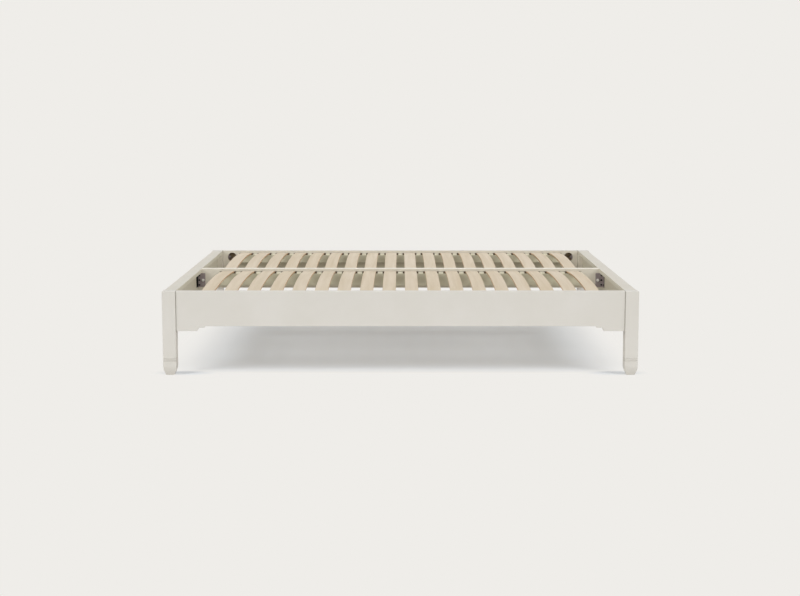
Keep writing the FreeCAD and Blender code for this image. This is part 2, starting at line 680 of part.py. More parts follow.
def make_beam_bracket(name, side_x):
    """A steel angle: its plate on the beam, its flange on the end rail."""
    body = new_body(name, x=f"{side_x} * {END_RAIL_INNER_X}", y="-beam_thickness / 2",
                    z="bed_height - plate_drop - plate_height")
    section = new_sketch(body, f"{name}_section", "XY_Plane")
    add_outline(section, [
        ("0", "0"),
        (f"{-side_x} * plate_width", "0"),
        (f"{-side_x} * plate_width", "-plate_thickness"),
        (f"{-side_x} * plate_thickness", "-plate_thickness"),
        (f"{-side_x} * plate_thickness", "-flange_width"),
        ("0", "-flange_width"),
    ])
    add_pad(body, section, "plate_height")
    soften(body, f"{name}_bend", "bend_radius",
           lambda edge: stands_at(edge, f"{-side_x} * plate_thickness", "-plate_thickness"))
    soften(body, f"{name}_back_of_bend", "bend_radius + plate_thickness",
           lambda edge: stands_at(edge, "0", "0"))
    soften(body, f"{name}_corners", "plate_corner_radius",
           lambda edge: runs_along(edge, ACROSS)
           and abs(edge.CenterOfMass.x) > value("plate_width") - 1
           or runs_along(edge, ALONG) and edge.CenterOfMass.y < 1 - value("flange_width"))
    plate_holes = new_sketch(body, f"{name}_plate_holes", "XZ_Plane")
    for step in (-1, 0, 1):
        add_circle(plate_holes, (f"{-side_x} * screw_column",
                                 f"plate_height / 2 + {step} * screw_spacing"),
                   "screw_radius + screw_clearance")
    add_circle(plate_holes, (f"{-side_x} * coach_screw_inset", "plate_height / 2"),
               "coach_screw_radius + screw_clearance")
    add_pocket(body, plate_holes, "2 * plate_thickness", middle=True)
    flange_holes = new_sketch(body, f"{name}_flange_holes", "YZ_Plane")
    for step in (-1, 1):
        add_circle(flange_holes, ("-flange_screw_inset",
                                  f"plate_height / 2 + {step} * screw_spacing"),
                   "screw_radius + screw_clearance")
    add_pocket(body, flange_holes, "2 * plate_thickness", middle=True)


def make_bracket_screws():
    """Round-headed screws through the plates and flanges of both brackets."""
    body = new_body("bracket_screws")
    plate_face = PLATE_FRONT_Y
    flange_face = f"({END_RAIL_INNER_X} - plate_thickness)"
    plate_places = [(f"{END_RAIL_INNER_X} - screw_column",
                     f"{PLATE_MIDDLE} + {step} * screw_spacing") for step in (-1, 0, 1)]
    flange_places = [("-(beam_thickness / 2 + flange_screw_inset)",
                      f"{PLATE_MIDDLE} + {step} * screw_spacing") for step in (-1, 1)]
    pads = []
    for word, role, face, places, inwards in (
            ("plate", "XZ_Plane", plate_face, plate_places, True),
            ("flange", "YZ_Plane", flange_face, flange_places, False)):
        shanks = new_sketch(body, f"{word}_screw_shanks", role, face)
        heads = new_sketch(body, f"{word}_screw_heads", role, face)
        for place in places:
            add_circle(shanks, place, "screw_radius")
            add_circle(heads, place, "screw_head_radius")
        pads.append(add_pad(body, shanks, "screw_length", backwards=inwards))
        pads.append(add_pad(body, heads, "screw_head_height", backwards=not inwards))
    repeat(body, pads, mirror_steps(body, ("YZ_Plane",)))


def make_bracket_bolts():
    """One hexagon coach screw through the plate of each bracket."""
    body = new_body("bracket_bolts")
    place = (f"{END_RAIL_INNER_X} - coach_screw_inset", PLATE_MIDDLE)
    shank = new_sketch(body, "coach_screw_shank", "XZ_Plane", PLATE_FRONT_Y)
    head = new_sketch(body, "coach_screw_head", "XZ_Plane", PLATE_FRONT_Y)
    add_circle(shank, place, "coach_screw_radius")
    add_hexagon(head, place, "coach_head_across_flats")
    pads = [add_pad(body, shank, "coach_screw_length", backwards=True),
            add_pad(body, head, "coach_head_height")]
    repeat(body, pads, mirror_steps(body, ("YZ_Plane",)))


# ---- the whole bed ----

for side_y, depth_word in ((FRONT, "front"), (BACK, "back")):
    for side_x, side_word in ((LEFT, "left"), (RIGHT, "right")):
        make_post(f"post_{depth_word}_{side_word}", side_x, side_y)
    make_side_rail(f"side_rail_{depth_word}", side_y)
    make_ledger(f"ledger_{depth_word}_rail", f"{side_y} * {SIDE_RAIL_INNER_Y}", -side_y,
                "rail_ledger_depth")
    make_ledger(f"ledger_{depth_word}_beam", f"{side_y} * beam_thickness / 2", side_y,
                "beam_ledger_depth")
    for slat in range(SLATS_PER_ROW):
        make_slat(f"slat_{depth_word}_{slat + 1:02d}", side_y, slat)
for side_x, side_word in ((LEFT, "left"), (RIGHT, "right")):
    make_end_rail(f"end_rail_{side_word}", side_x)
    make_end_cap(f"end_cap_{side_word}", side_x)
    make_beam_bracket(f"beam_bracket_{side_word}", side_x)
make_centre_beam()
make_slat_holders()
make_bed_bolts()
make_crescent_washers()
make_bed_nuts()
make_joint_dowels()
make_bracket_screws()
make_bracket_bolts()

doc.recompute()
for item in doc.Objects:
    if "Invalid" in item.State or "Error" in item.State:
        raise RuntimeError(f"{item.Name} failed: {item.State}")
for body in sub_parts:
    if body.Shape.isNull() or not body.Shape.isValid() or not body.Shape.Solids:
        raise RuntimeError(f"{body.Label} has no valid shape")

os.makedirs("parts", exist_ok=True)
for body in sub_parts:
    body.Shape.exportStep(os.path.join("parts", f"{body.Label}.step"))
print(len(sub_parts), "sub-parts written")
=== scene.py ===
import math

import bmesh
import bpy
from mathutils import Matrix, Vector


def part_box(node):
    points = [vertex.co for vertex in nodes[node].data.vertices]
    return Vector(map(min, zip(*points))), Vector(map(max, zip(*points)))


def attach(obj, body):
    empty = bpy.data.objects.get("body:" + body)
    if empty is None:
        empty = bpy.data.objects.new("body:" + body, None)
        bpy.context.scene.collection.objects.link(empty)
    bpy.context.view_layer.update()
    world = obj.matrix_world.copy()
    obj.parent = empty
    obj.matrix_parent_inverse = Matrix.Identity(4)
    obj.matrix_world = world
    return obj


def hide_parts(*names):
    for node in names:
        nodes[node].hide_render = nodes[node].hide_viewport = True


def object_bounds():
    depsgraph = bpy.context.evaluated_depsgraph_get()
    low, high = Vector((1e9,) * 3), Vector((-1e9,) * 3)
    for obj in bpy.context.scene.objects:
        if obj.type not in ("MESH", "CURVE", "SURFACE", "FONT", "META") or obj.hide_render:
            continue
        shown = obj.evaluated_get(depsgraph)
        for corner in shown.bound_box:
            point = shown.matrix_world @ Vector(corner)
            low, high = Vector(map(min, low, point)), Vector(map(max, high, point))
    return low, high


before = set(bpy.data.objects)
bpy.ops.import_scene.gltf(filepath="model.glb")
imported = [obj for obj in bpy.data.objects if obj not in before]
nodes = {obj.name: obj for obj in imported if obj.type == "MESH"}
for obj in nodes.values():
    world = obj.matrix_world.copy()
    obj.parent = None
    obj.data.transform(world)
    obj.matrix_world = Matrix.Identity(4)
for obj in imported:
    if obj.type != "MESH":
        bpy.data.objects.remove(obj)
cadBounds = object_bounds()
print("frame loaded,", len(nodes), "nodes")


def addNode(tree, kind, inputs=None, **settings):
    # a shader node whose inputs are other nodes' sockets or plain values
    node = tree.nodes.new(kind)
    for name, value in settings.items():
        setattr(node, name, value)
    for socket, value in (inputs or {}).items():
        if isinstance(value, bpy.types.NodeSocket):
            tree.links.new(value, node.inputs[socket])
        else:
            node.inputs[socket].default_value = value
    return node


def math2(tree, operation, first, second=0.5):
    # operations that take one value pay no heed to the second
    return addNode(tree, "ShaderNodeMath", {0: first, 1: second}, operation=operation).outputs[0]


def times(tree, first, second):
    return math2(tree, "MULTIPLY", first, second)


def minus(tree, first, second):
    return math2(tree, "SUBTRACT", first, second)


def below(tree, value, limit):
    return math2(tree, "LESS_THAN", value, limit)


def above(tree, value, limit):
    return math2(tree, "GREATER_THAN", value, limit)


def product(tree, masks):
    total = masks[0]
    for mask in masks[1:]:
        total = times(tree, total, mask)
    return total


def axesOf(tree, place):
    return addNode(tree, "ShaderNodeSeparateXYZ", {0: place}).outputs


def fromMiddle(tree, axis):
    # how far a place is from the middle of the bed, on either side of it
    return math2(tree, "ABSOLUTE", axis)


def lengthOf(tree, x=0.0, y=0.0, z=0.0):
    vector = addNode(tree, "ShaderNodeCombineXYZ", {"X": x, "Y": y, "Z": z}).outputs[0]
    return addNode(tree, "ShaderNodeVectorMath", {0: vector}, operation="LENGTH").outputs["Value"]


def remap(tree, value, low, high, toLow=0.0, toHigh=1.0, shape="LINEAR"):
    ends = {"Value": value, "From Min": low, "From Max": high, "To Min": toLow, "To Max": toHigh}
    return addNode(tree, "ShaderNodeMapRange", ends, clamp=True,
                   interpolation_type=shape).outputs["Result"]


def noiseOf(tree, place, **inputs):
    return addNode(tree, "ShaderNodeTexNoise", {"Vector": place, **inputs}).outputs


def mixColour(tree, amount, first, second, blend="MIX"):
    return addNode(tree, "ShaderNodeMix", {0: amount, 6: first, 7: second}, data_type="RGBA",
                   blend_type=blend).outputs[2]


def fromSrgb(red, green, blue):
    # a colour as it is read off a screen, 0 to 255, in the linear values that shaders take
    def channel(value):
        value /= 255
        return value / 12.92 if value <= 0.04045 else ((value + 0.055) / 1.055) ** 2.4
    return (channel(red), channel(green), channel(blue), 1.0)


def newGroup(name, inputs, outputs):
    tree = bpy.data.node_groups.new(name, "ShaderNodeTree")
    for label, start in inputs.items():
        kind = "NodeSocketVector" if start is None else "NodeSocketFloat"
        socket = tree.interface.new_socket(name=label, in_out="INPUT", socket_type=kind)
        if start is not None:
            socket.default_value = start
    for label in outputs:
        tree.interface.new_socket(name=label, in_out="OUTPUT", socket_type="NodeSocketFloat")
    entry = tree.nodes.new("NodeGroupInput").outputs
    leave = tree.nodes.new("NodeGroupOutput").inputs
    return tree, entry, leave


def useGroup(tree, group, inputs):
    return addNode(tree, "ShaderNodeGroup", inputs, node_tree=group).outputs


def newMaterial(name):
    material = bpy.data.materials.new(name)
    material.use_nodes = True
    tree = material.node_tree
    tree.nodes.clear()
    output = tree.nodes.new("ShaderNodeOutputMaterial")
    shader = tree.nodes.new("ShaderNodeBsdfPrincipled")
    tree.links.new(shader.outputs[0], output.inputs["Surface"])
    place = tree.nodes.new("ShaderNodeTexCoord").outputs["Object"]
    return material, tree, shader, place


def finishShader(tree, shader, colour, roughness, height, bump, fixed=None):
    # what every finish ends with: its colour, roughness and bump, and values that don't vary
    normal = addNode(tree, "ShaderNodeBump", {"Height": height, **bump}).outputs[0]
    for socket, value in (("Base Color", colour), ("Roughness", roughness), ("Normal", normal)):
        tree.links.new(value, shader.inputs[socket])
    for socket, value in (fixed or {}).items():
        shader.inputs[socket].default_value = value


noiseRange = (0.3, 0.7)  # nearly all of a noise lies between these


# how edges are marked, as wear and as painted highlight: the lean of a rounded normal that counts,
# and where the noise breaks it up
wearAndHighlight = {
    "samples": 4,
    "edge": (0.97, 0.80),
    "noise": {"Detail": 5.0, "Roughness": 0.6},
    "patches": (0.35, 0.62),
}


def buildEdgeGroup():
    # a mask along every edge, broken up: wear on most finishes, and a painted highlight with wear
    # on the paint
    tree, entry, leave = newGroup(
        "edgeWearAndHighlight", {"Place": None, "Width": 0.0015, "Break Scale": 60.0}, ["Mask"])
    rounded = addNode(tree, "ShaderNodeBevel", {"Radius": entry["Width"]}, samples=wearAndHighlight["samples"])
    normal = tree.nodes.new("ShaderNodeNewGeometry").outputs["Normal"]
    lean = addNode(tree, "ShaderNodeVectorMath", {0: rounded.outputs[0], 1: normal},
                   operation="DOT_PRODUCT")
    edge = remap(tree, lean.outputs["Value"], *wearAndHighlight["edge"])
    noise = noiseOf(tree, entry["Place"], Scale=entry["Break Scale"], **wearAndHighlight["noise"])
    tree.links.new(times(tree, edge, remap(tree, noise["Fac"], *wearAndHighlight["patches"])), leave["Mask"])
    return tree


# wood: a slow warp bends the figure and the pores, and the pores sink below the figure
wood = {
    "warp": {"Scale": 6.0, "Detail": 3.0, "Roughness": 0.5},
    "bend": (0.03, 0.0, 0.03),
    "figure": {"Detail": 8.0, "Roughness": 0.62, "Distortion": 0.4},
    "pores": {"Detail": 4.0, "Roughness": 0.7},
    "poreEdge": (0.56, 0.70),
    "poreSink": 0.6,
}


def buildGrainGroup():
    # wood grain along the vector's Y axis: broad figure, fine pores and a height for both
    tree, entry, leave = newGroup(
        "woodGrain",
        {"Place": None, "Figure Scale": 9.0, "Pore Scale": 420.0, "Stretch": 0.05},
        ["Figure", "Pores", "Height"])
    stretch = addNode(tree, "ShaderNodeCombineXYZ", {"X": 1.0, "Y": entry["Stretch"], "Z": 1.0})
    along = addNode(tree, "ShaderNodeVectorMath", {0: entry["Place"], 1: stretch.outputs[0]},
                    operation="MULTIPLY").outputs[0]
    warp = noiseOf(tree, along, **wood["warp"])
    bent = addNode(tree, "ShaderNodeVectorMath", {0: warp["Color"], 1: wood["bend"], 2: along},
                   operation="MULTIPLY_ADD").outputs[0]
    figure = noiseOf(tree, bent, Scale=entry["Figure Scale"], **wood["figure"])["Fac"]
    fine = noiseOf(tree, bent, Scale=entry["Pore Scale"], **wood["pores"])["Fac"]
    pores = remap(tree, fine, *wood["poreEdge"])
    height = minus(tree, figure, times(tree, pores, wood["poreSink"]))
    for label, value in (("Figure", figure), ("Pores", pores), ("Height", height)):
        tree.links.new(value, leave[label])
    return tree


# lacquer: the noises of its orange peel, its cloudy tone and its gloss
lacquer = {
    "peel": {"Detail": 2.0, "Roughness": 0.4},
    "peelHeight": 0.35,
    "cloud": {"Scale": 5.0, "Detail": 4.0, "Roughness": 0.55},
    "smear": {"Scale": 38.0, "Detail": 5.0, "Roughness": 0.6},
}


def buildSprayGroup():
    # sprayed lacquer: a fine orange peel over the ghost of the grain, with faint cloudy tone
    tree, entry, leave = newGroup(
        "sprayCoat", {"Place": None, "Peel Scale": 500.0, "Ghost": 0.0},
        ["Tone", "Height", "Gloss"])
    peel = noiseOf(tree, entry["Place"], Scale=entry["Peel Scale"], **lacquer["peel"])["Fac"]
    height = math2(tree, "ADD", times(tree, peel, lacquer["peelHeight"]), entry["Ghost"])
    cloud = noiseOf(tree, entry["Place"], **lacquer["cloud"])["Fac"]
    smear = noiseOf(tree, entry["Place"], **lacquer["smear"])["Fac"]
    for label, value in (("Tone", cloud), ("Height", height), ("Gloss", smear)):
        tree.links.new(value, leave[label])
    return tree


def buildInsideGroup():
    # a mask of the faces that look into the frame
    tree, entry, leave = newGroup(
        "insideFaces",
        {"Place": None, "Reach X": 1.0, "Reach Y": 0.9, "Bottom": 0.2, "Top": 0.4}, ["Mask"])
    axes = axesOf(tree, entry["Place"])
    inside = product(tree, [below(tree, fromMiddle(tree, axes["X"]), entry["Reach X"]),
                            below(tree, fromMiddle(tree, axes["Y"]), entry["Reach Y"]),
                            below(tree, axes["Z"], entry["Top"]),
                            above(tree, axes["Z"], entry["Bottom"])])
    tree.links.new(inside, leave["Mask"])
    return tree


edgeWearAndHighlight = buildEdgeGroup()
woodGrain = buildGrainGroup()
sprayCoat = buildSprayGroup()
insideFaces = buildInsideGroup()
print("shared effects built")


# paint: each coat is the two colours that its cloudy tone goes between
paint = {
    "outside": (fromSrgb(211, 208, 202), fromSrgb(208, 205, 198)),
    # painted shade: the caps take a darker coat than the other outside paint, standing in for the
    # lesser light on their tops
    "capTopShade": (fromSrgb(207, 203, 193), fromSrgb(204, 199, 188)),
    "capEdge": (fromSrgb(212, 207, 189), fromSrgb(207, 201, 182)),
    # painted highlight: the beam's top takes a lighter coat than its faces
    "beamTopHighlight": (fromSrgb(232, 228, 217), fromSrgb(229, 224, 212)),
    # painted shade: beam, ledger, inside and capEdge are warmer, mostly darker copies of the paint
    # for faces inside the frame, standing in for its shade and warm bounced light; capEdge, on the
    # caps' inner faces, is lighter than inside, standing in for the light that reaches them
    "beam": (fromSrgb(213, 207, 193), fromSrgb(210, 203, 188)),
    "ledger": (fromSrgb(205, 201, 179), fromSrgb(200, 195, 173)),
    "inside": (fromSrgb(201, 195, 177), fromSrgb(196, 190, 171)),
    # painted shade for the rails below the ledgers
    "shadeUnderLedger": (fromSrgb(188, 181, 162), fromSrgb(182, 175, 155)),
    # painted highlight with wear: the colour that the paint's edges are lightened towards
    "rubbedAndLit": fromSrgb(226, 223, 217),
    # painted shade: the colour of the dark lines painted into the rails' joints, the beam's seam
    # and the posts' grooves
    "creviceShade": fromSrgb(112, 106, 90),
    # painted highlight along the upper edge of the ledgers
    "lip": fromSrgb(236, 232, 210),
    "tone": (0.35, 0.65),
    "grain": {"Figure Scale": 26.0, "Pore Scale": 650.0, "Stretch": 0.04},
    "grainTurn": {"x": (0.0, 0.0, math.pi / 2), "y": (0.0, 0.0, 0.0), "z": (math.pi / 2, 0.0, 0.0)},
    "poreShade": 0.05,
    "peelScale": 420.0,
    "rub": {"Width": 0.0022, "Break Scale": 45.0},
    "rubShare": 0.4,
    "roughness": (0.50, 0.62),
    "specular": 0.22,
    "bump": {"Strength": 0.30, "Distance": 0.00012},
    "margin": 0.0005,
    "jointLine": 0.0018,
    "lipDepth": 0.006,
    "lipLightShare": 0.7,
    "seamHeight": 0.006,
    "seamShade": 0.30,
}
# painted shade in the post grooves: where they lie, their half width and how strongly they take the
# shade colour
groove = {"levels": (0.065, 0.074), "halfWidth": 0.0021, "grooveShade": 0.15}
pocket = {"radius": 0.025, "rimMargin": 0.0020, "raw": fromSrgb(150, 134, 108),
          "dark": fromSrgb(118, 102, 80)}


def insideShadeMask(tree, place):
    # painted shade: the faces that look into the frame take warmer, mostly darker coats, standing
    # in for the shade inside it
    low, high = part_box("side_rail_back")
    margin = paint["margin"]
    return useGroup(tree, insideFaces, {
        "Place": place, "Reach X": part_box("end_rail_right")[0].x + margin,
        "Reach Y": low.y + margin, "Bottom": low.z + margin, "Top": high.z - margin})["Mask"]


def shadeUnderLedgerMask(tree, place):
    # painted shade: the rails are painted darker below the top of the ledgers, where the ledgers
    # shade them
    axes = axesOf(tree, place)
    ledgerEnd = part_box("ledger_back_rail")[1]
    return product(tree, [insideShadeMask(tree, place), below(tree, axes["Z"], ledgerEnd.z),
                          below(tree, fromMiddle(tree, axes["X"]), ledgerEnd.x)])


def pocketMask(tree, place):
    # raw timber shows where the round bolt pockets are bored into the side rails
    axes = axesOf(tree, place)
    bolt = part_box("bed_bolts")
    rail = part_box("side_rail_back")
    outwards = fromMiddle(tree, axes["Y"])
    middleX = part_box("crescent_washers")[1].x - pocket["radius"]
    middleZ = (bolt[0].z + bolt[1].z) / 2
    distance = lengthOf(tree, x=minus(tree, fromMiddle(tree, axes["X"]), middleX),
                        z=minus(tree, axes["Z"], middleZ))
    return product(tree, [below(tree, distance, pocket["radius"] + paint["margin"]),
                          above(tree, outwards, rail[0].y + paint["margin"]),
                          below(tree, outwards, rail[1].y - pocket["rimMargin"])])


def jointShadeMask(tree, place):
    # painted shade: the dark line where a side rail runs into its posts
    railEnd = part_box("side_rail_back")[1].x
    return above(tree, fromMiddle(tree, axesOf(tree, place)["X"]), railEnd - paint["jointLine"])


def seamMask(tree, place):
    # the shade line where the beam stands on the top of its ledgers
    axes = axesOf(tree, place)
    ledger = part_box("ledger_back_beam")
    level = ledger[1].z
    line = product(tree, [above(tree, axes["Z"], level),
                          below(tree, axes["Z"], level + paint["seamHeight"]),
                          below(tree, fromMiddle(tree, axes["X"]), ledger[1].x)])
    return times(tree, line, paint["seamShade"])


def lipHighlightMask(tree, place):
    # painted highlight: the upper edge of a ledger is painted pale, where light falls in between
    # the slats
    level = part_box("ledger_back_beam")[1].z
    lip = above(tree, axesOf(tree, place)["Z"], level - paint["lipDepth"])
    return times(tree, lip, paint["lipLightShare"])


def grooveShadeMask(tree, place):
    # painted shade in the double groove of a post
    height = axesOf(tree, place)["Z"]
    lines = []
    for level in groove["levels"]:
        away = math2(tree, "ABSOLUTE", minus(tree, height, level))
        lines.append(below(tree, away, groove["halfWidth"]))
    return times(tree, math2(tree, "ADD", *lines), groove["grooveShade"])


def makePaint(name, direction, coat="outside", layers=()):
    # the same paint for each way that a board can run; each layer is a mask and what it shows
    material, tree, shader, place = newMaterial(name)
    turned = addNode(tree, "ShaderNodeMapping",
                     {"Vector": place, "Rotation": paint["grainTurn"][direction]}).outputs[0]
    grain = useGroup(tree, woodGrain, {"Place": turned, **paint["grain"]})
    spray = useGroup(tree, sprayCoat, {"Place": place, "Peel Scale": paint["peelScale"],
                                       "Ghost": grain["Height"]})
    rub = useGroup(tree, edgeWearAndHighlight, {"Place": place, **paint["rub"]})
    tone = remap(tree, spray["Tone"], *paint["tone"])
    colour = mixColour(tree, tone, *paint[coat])
    for mask, shown in layers:
        if shown in ("creviceShade", "lip"):
            layer = paint[shown]
        elif shown == "pocket":
            figure = remap(tree, grain["Figure"], *paint["tone"])
            layer = mixColour(tree, figure, pocket["raw"], pocket["dark"])
        else:
            layer = mixColour(tree, tone, *paint[shown])
        colour = mixColour(tree, mask(tree, place), colour, layer)
    colour = mixColour(tree, times(tree, grain["Pores"], paint["poreShade"]), colour,
                       paint["inside"][1], "MULTIPLY")
    # painted highlight: the edges of the paint are lightened, partly as wear and partly standing in
    # for light caught on their rounding
    colour = mixColour(tree, times(tree, rub["Mask"], paint["rubShare"]), colour, paint["rubbedAndLit"])
    roughness = remap(tree, spray["Gloss"], *noiseRange, *paint["roughness"])
    finishShader(tree, shader, colour, roughness, spray["Height"], paint["bump"],
                 {"Specular IOR Level": paint["specular"]})
    return material


# slats: laminated timber, pale on its faces and darker where its layers show
slat = {
    "light": fromSrgb(205, 190, 167),
    "dark": fromSrgb(196, 180, 154),
    "streak": fromSrgb(176, 153, 121),
    "edge": fromSrgb(200, 162, 118),
    "edgeDark": fromSrgb(160, 119, 80),
    "figure": (0.36, 0.66),
    "streakShare": 0.30,
    "grain": {"Figure Scale": 34.0, "Pore Scale": 520.0, "Stretch": 0.035},
    "endFace": 0.001,  # corners this close to the end of the box are on a slat's end face
    "veneerSeed": 3.0,
    "veneerShift": (3.0, 9.0, 2.0),
    "saturation": (0.95, 1.05),
    "brightness": (1.015, 0.985),
    "layer": 0.00135,
    "glueLine": (0.30, 0.48),
    "sideTilt": (0.75, 0.45),
    "rub": {"Width": 0.0015, "Break Scale": 70.0},
    "rubShare": 0.25,
    "roughness": (0.46, 0.62),
    "specular": 0.4,
    "bump": {"Strength": 0.35, "Distance": 0.0002},
}


def slatThickness():
    # a slat's box is its bow and its thickness together; its end faces are as high as it is thick
    mesh = nodes["slat_front_01"].data
    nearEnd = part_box("slat_front_01")[0].y + slat["endFace"]
    ends = [vertex.co.z for vertex in mesh.vertices if vertex.co.y < nearEnd]
    return max(ends) - min(ends)


def slatDraw(tree, axes):
    # a random colour and value for each slat, from its place in its row
    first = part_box("slat_front_01")[0].x
    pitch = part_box("slat_front_02")[0].x - first
    lane = math2(tree, "FLOOR", math2(tree, "DIVIDE", minus(tree, axes["X"], first - pitch / 4),
                                      pitch))
    seed = addNode(tree, "ShaderNodeCombineXYZ", {"X": lane, "Y": math2(tree, "SIGN", axes["Y"]),
                                                  "Z": slat["veneerSeed"]})
    return addNode(tree, "ShaderNodeTexWhiteNoise", {"Vector": seed.outputs[0]},
                   noise_dimensions="3D").outputs


def slatLayers(tree, axes):
    # the colour of the glued layers, which follow the bow of the slat
    low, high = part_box("slat_front_01")
    halfLength = (high.y - low.y) / 2
    middleY = abs(high.y + low.y) / 2
    bow = high.z - low.z - slatThickness()
    along = minus(tree, fromMiddle(tree, axes["Y"]), middleY)
    fall = times(tree, math2(tree, "POWER", math2(tree, "DIVIDE", along, halfLength), 2.0), bow)
    level = math2(tree, "ADD", axes["Z"], fall)
    layer = math2(tree, "FRACT", math2(tree, "DIVIDE", level, slat["layer"]))
    glueLine = remap(tree, math2(tree, "ABSOLUTE", minus(tree, layer, 0.5)), *slat["glueLine"])
    return mixColour(tree, glueLine, slat["edge"], slat["edgeDark"])


def makeSlatWood():
    # laminated timber with clear lacquer; its layers show on the sides and the ends
    material, tree, shader, place = newMaterial("slatTimber")
    axes = axesOf(tree, place)
    draw = slatDraw(tree, axes)
    # each slat reads its own stretch of veneer
    shifted = addNode(tree, "ShaderNodeVectorMath",
                      {0: draw["Color"], 1: slat["veneerShift"], 2: place},
                      operation="MULTIPLY_ADD").outputs[0]
    grain = useGroup(tree, woodGrain, {"Place": shifted, **slat["grain"]})
    rub = useGroup(tree, edgeWearAndHighlight, {"Place": place, **slat["rub"]})
    figure = remap(tree, grain["Figure"], *slat["figure"])
    colour = mixColour(tree, figure, slat["light"], slat["dark"])
    colour = mixColour(tree, times(tree, grain["Pores"], slat["streakShare"]), colour,
                       slat["streak"])
    # one slat is a touch warmer or paler than the next
    colour = addNode(tree, "ShaderNodeHueSaturation", {
        "Hue": 0.5, "Saturation": remap(tree, draw["Value"], 0.0, 1.0, *slat["saturation"]),
        "Value": remap(tree, draw["Value"], 0.0, 1.0, *slat["brightness"]),
        "Color": colour}).outputs[0]
    normal = axesOf(tree, tree.nodes.new("ShaderNodeNewGeometry").outputs["True Normal"])
    sides = remap(tree, math2(tree, "ABSOLUTE", normal["Z"]), *slat["sideTilt"])
    colour = mixColour(tree, sides, colour, slatLayers(tree, axes))
    colour = mixColour(tree, times(tree, rub["Mask"], slat["rubShare"]), colour, slat["light"])
    roughness = remap(tree, grain["Figure"], *noiseRange, *slat["roughness"])
    finishShader(tree, shader, colour, roughness, grain["Height"], slat["bump"],
                 {"Specular IOR Level": slat["specular"]})
    return material


# dowels: raw beech, hidden in the joints
dowel = {
    "light": fromSrgb(206, 178, 136),
    "dark": fromSrgb(178, 144, 100),
    "figure": (0.35, 0.65),
    "grain": {"Figure Scale": 60.0, "Pore Scale": 700.0, "Stretch": 0.2},
    "roughness": (0.65, 0.85),
    "bump": {"Strength": 0.4, "Distance": 0.0002},
}


def makeDowelWood():
    material, tree, shader, place = newMaterial("dowelTimber")
    grain = useGroup(tree, woodGrain, {"Place": place, **dowel["grain"]})
    figure = remap(tree, grain["Figure"], *dowel["figure"])
    colour = mixColour(tree, figure, dowel["light"], dowel["dark"])
    roughness = remap(tree, grain["Pores"], 0.0, 1.0, *dowel["roughness"])
    finishShader(tree, shader, colour, roughness, grain["Height"], dowel["bump"])
    return material


# slat holders: plastic with a fine sparked texture, a little worn and cloudy
holder = {
    "colour": fromSrgb(84, 70, 52),
    "worn": fromSrgb(112, 98, 78),
    "sparkScale": 1400.0,
    "cloud": {"Scale": 30.0, "Detail": 4.0},
    "cloudy": (0.4, 0.7, 0.0, 0.25),
    "rub": {"Width": 0.0006, "Break Scale": 120.0},
    "rubShare": 0.7,
    "roughness": (0.55, 0.75),
    "bump": {"Strength": 0.4, "Distance": 0.0001},
}


def makeHolderPlastic():
    material, tree, shader, place = newMaterial("holderPlastic")
    spark = addNode(tree, "ShaderNodeTexVoronoi", {"Vector": place, "Scale": holder["sparkScale"]})
    cloud = noiseOf(tree, place, **holder["cloud"])["Fac"]
    rub = useGroup(tree, edgeWearAndHighlight, {"Place": place, **holder["rub"]})
    colour = mixColour(tree, times(tree, rub["Mask"], holder["rubShare"]), holder["colour"],
                       holder["worn"])
    colour = mixColour(tree, remap(tree, cloud, *holder["cloudy"]), colour, holder["worn"])
    roughness = remap(tree, cloud, *noiseRange, *holder["roughness"])
    finishShader(tree, shader, colour, roughness, spark.outputs["Distance"], holder["bump"])
    return material


# powder coat, for the brackets and their screws
coated = {
    "peel": {"Scale": 900.0, "Detail": 3.0},
    "cloud": {"Scale": 55.0, "Detail": 6.0, "Roughness": 0.65},
    "dusty": (0.42, 0.68, 0.0, 0.35),
    "rub": {"Width": 0.0009, "Break Scale": 150.0},
    "rubShare": 0.6,
    "bareMetal": 0.8,
    "roughnessSpread": (-0.08, 0.10),
    "specular": 0.2,
    "bump": {"Strength": 0.3, "Distance": 0.00012},
}


def makeCoatedSteel(name, base, bare, roughness, layers=()):
    # powder-coated steel, scuffed to bare metal along its edges; a layer is a mask and a colour
    material, tree, shader, place = newMaterial(name)
    peel = noiseOf(tree, place, **coated["peel"])["Fac"]
    cloud = noiseOf(tree, place, **coated["cloud"])["Fac"]
    rub = useGroup(tree, edgeWearAndHighlight, {"Place": place, **coated["rub"]})
    worn = times(tree, rub["Mask"], coated["rubShare"])
    colour = mixColour(tree, remap(tree, cloud, *coated["dusty"]), base, bare)
    colour = mixColour(tree, worn, colour, bare)
    for mask, shown in layers:
        colour = mixColour(tree, mask(tree, place), colour, shown)
    tree.links.new(times(tree, worn, coated["bareMetal"]), shader.inputs["Metallic"])
    ends = [roughness + change for change in coated["roughnessSpread"]]
    finishShader(tree, shader, colour, remap(tree, cloud, *noiseRange, *ends), peel,
                 coated["bump"], {"Specular IOR Level": coated["specular"]})
    return material


# zinc plating, for bolts, nuts and washers
plated = {
    "spangleScale": 260.0,
    "spangled": (0.1, 0.8, 0.0, 0.5),
    "streak": {"Scale": 90.0, "Detail": 6.0, "Roughness": 0.6},
    "stained": (0.52, 0.74, 0.0, 0.35),
    "fine": {"Scale": 1600.0, "Detail": 2.0},
    "roughnessSpread": (-0.08, 0.10),
    "bump": {"Strength": 0.25, "Distance": 0.0001},
}


